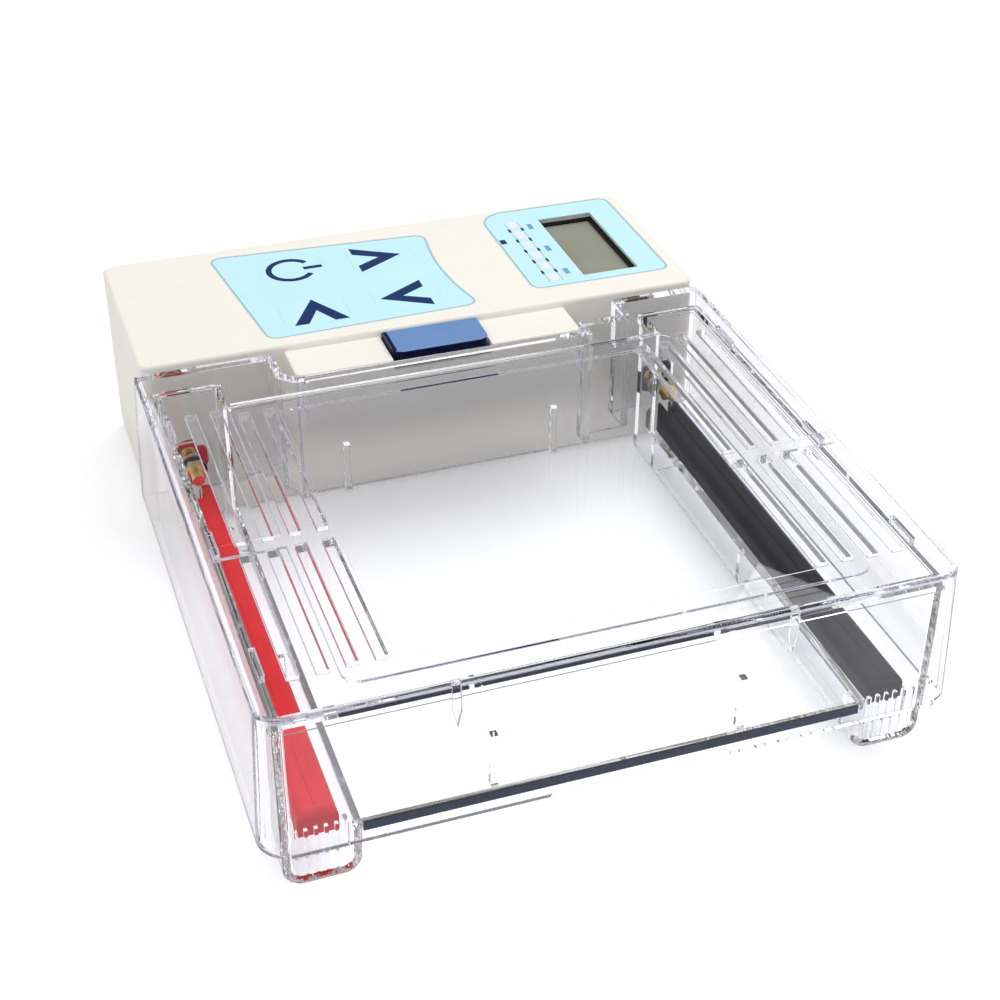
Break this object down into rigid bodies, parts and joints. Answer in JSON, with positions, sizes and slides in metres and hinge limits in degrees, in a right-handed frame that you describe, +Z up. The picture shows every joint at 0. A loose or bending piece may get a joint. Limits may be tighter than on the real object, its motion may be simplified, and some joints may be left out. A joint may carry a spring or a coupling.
{
  "type": "electrophoresis system",
  "caption": "Compact gel electrophoresis system: a clear buffer tank under a clear vented lid, plugged into a power supply with a keypad and display.",
  "frame": {"origin": "middle of the whole footprint, on the surface that the object stands on", "axes": "+X to the right, +Y from the tank to the power supply at the back, +Z up"},
  "size_m": [0.204, 0.2588, 0.0647],
  "materials": {
    "clear_plastic": "clear moulded polycarbonate",
    "cream_plastic": "fine-textured moulded plastic",
    "light_blue_film": "printed film, satin",
    "navy_strip": "smooth dark moulding",
    "blue_tab": "satin moulded plastic",
    "red_plastic": "gloss moulded plastic",
    "black_plastic": "satin moulded plastic",
    "platinum": "drawn wire",
    "plated_brass": "machined and plated",
    "steel": "zinc plated",
    "rubber": "moulded rubber",
    "seal_rubber": "moulded silicone",
    "lamp_white": "milky diffuser",
    "lamp_chip": "encapsulated chip",
    "screen_glass": "reflective display glass",
    "circuit_board": "solder mask",
    "ferrite": "sintered ferrite",
    "copper_winding": "taped winding",
    "capacitor_sleeve": "shrink sleeve",
    "aluminium": "extruded",
    "fuse_glass": "glass tube with metal caps",
    "ribbon_grey": "flat flexible insulation"
  },
  "bodies": {
    "power_supply": {"lower_case": "cream_plastic", "upper_case": "cream_plastic", "rubber_feet": "rubber", "case_screws": "steel", "anode_socket_bush": "red_plastic", "cathode_socket_bush": "black_plastic", "socket_sleeves": "plated_brass", "socket_nuts": "plated_brass", "anode_lead": "red_plastic", "cathode_lead": "black_plastic", "keypad_film": "light_blue_film", "key_domes": "steel", "display_panel": "light_blue_film", "lamp_lenses": "lamp_white", "indicator_lamps": "lamp_chip", "screen_frame": "black_plastic", "screen_glass": "screen_glass", "control_board": "circuit_board", "control_screws": "steel", "controller_chip": "black_plastic", "buzzer": "black_plastic", "ribbon_cable": "ribbon_grey", "ribbon_connectors": "black_plastic", "main_board": "circuit_board", "board_screws": "steel", "transformer_core": "ferrite", "transformer_winding": "copper_winding", "capacitors": "capacitor_sleeve", "heat_sink": "aluminium", "power_transistors": "black_plastic", "fuse": "fuse_glass", "fuse_clips": "plated_brass", "mains_inlet": "black_plastic", "inlet_blades": "plated_brass", "latch_pin": "steel", "latch_spring": "steel", "interlock_switch": "black_plastic"},
    "tank": {"tank": "clear_plastic", "front_strip": "navy_strip", "anode_guard": "red_plastic", "cathode_guard": "black_plastic", "anode_wire": "platinum", "cathode_wire": "platinum", "terminal_pins": "plated_brass", "terminal_seals": "seal_rubber", "terminal_nuts": "plated_brass"},
    "lid": {"lid": "clear_plastic"},
    "lid_latch": {"lid_latch": "blue_tab"},
    "interlock_plunger": {"interlock_plunger": "red_plastic"},
    "key_power": {"key_power": "light_blue_film"},
    "key_raise": {"key_raise": "light_blue_film"},
    "key_select": {"key_select": "light_blue_film"},
    "key_lower": {"key_lower": "light_blue_film"}
  },
  "joints": [
    {"name": "tank_undock", "type": "slide", "parent": "power_supply", "child": "tank", "axis": [0, -1, 0], "range_m": [0, 0.03]},
    {"name": "lid_lift", "type": "slide", "parent": "tank", "child": "lid", "axis": [0, 0, 1], "range_m": [0, 0.07]},
    {"name": "latch_press", "type": "hinge", "parent": "power_supply", "child": "lid_latch", "pos_m": [0, 0.0626, 0.0596], "axis": [1, 0, 0], "range_deg": [0, 6], "stiffness_Nm_per_rad": 0.2, "springref_deg": -5.73, "deforming": ["latch_spring"]},
    {"name": "plunger_press", "type": "slide", "parent": "power_supply", "child": "interlock_plunger", "axis": [0, 0, -1], "range_m": [0, 0.0015]},
    {"name": "key_power_press", "type": "slide", "parent": "power_supply", "child": "key_power", "axis": [0, 0, -1], "range_m": [0, 0.0004], "stiffness_N_per_m": 2000, "springref_m": -0.0001},
    {"name": "key_raise_press", "type": "slide", "parent": "power_supply", "child": "key_raise", "axis": [0, 0, -1], "range_m": [0, 0.0004], "stiffness_N_per_m": 2000, "springref_m": -0.0001},
    {"name": "key_select_press", "type": "slide", "parent": "power_supply", "child": "key_select", "axis": [0, 0, -1], "range_m": [0, 0.0004], "stiffness_N_per_m": 2000, "springref_m": -0.0001},
    {"name": "key_lower_press", "type": "slide", "parent": "power_supply", "child": "key_lower", "axis": [0, 0, -1], "range_m": [0, 0.0004], "stiffness_N_per_m": 2000, "springref_m": -0.0001}
  ],
  "couplings": [
    {"joint": "plunger_press", "follows": "latch_press", "m_per_rad": 0.0135}
  ]
}
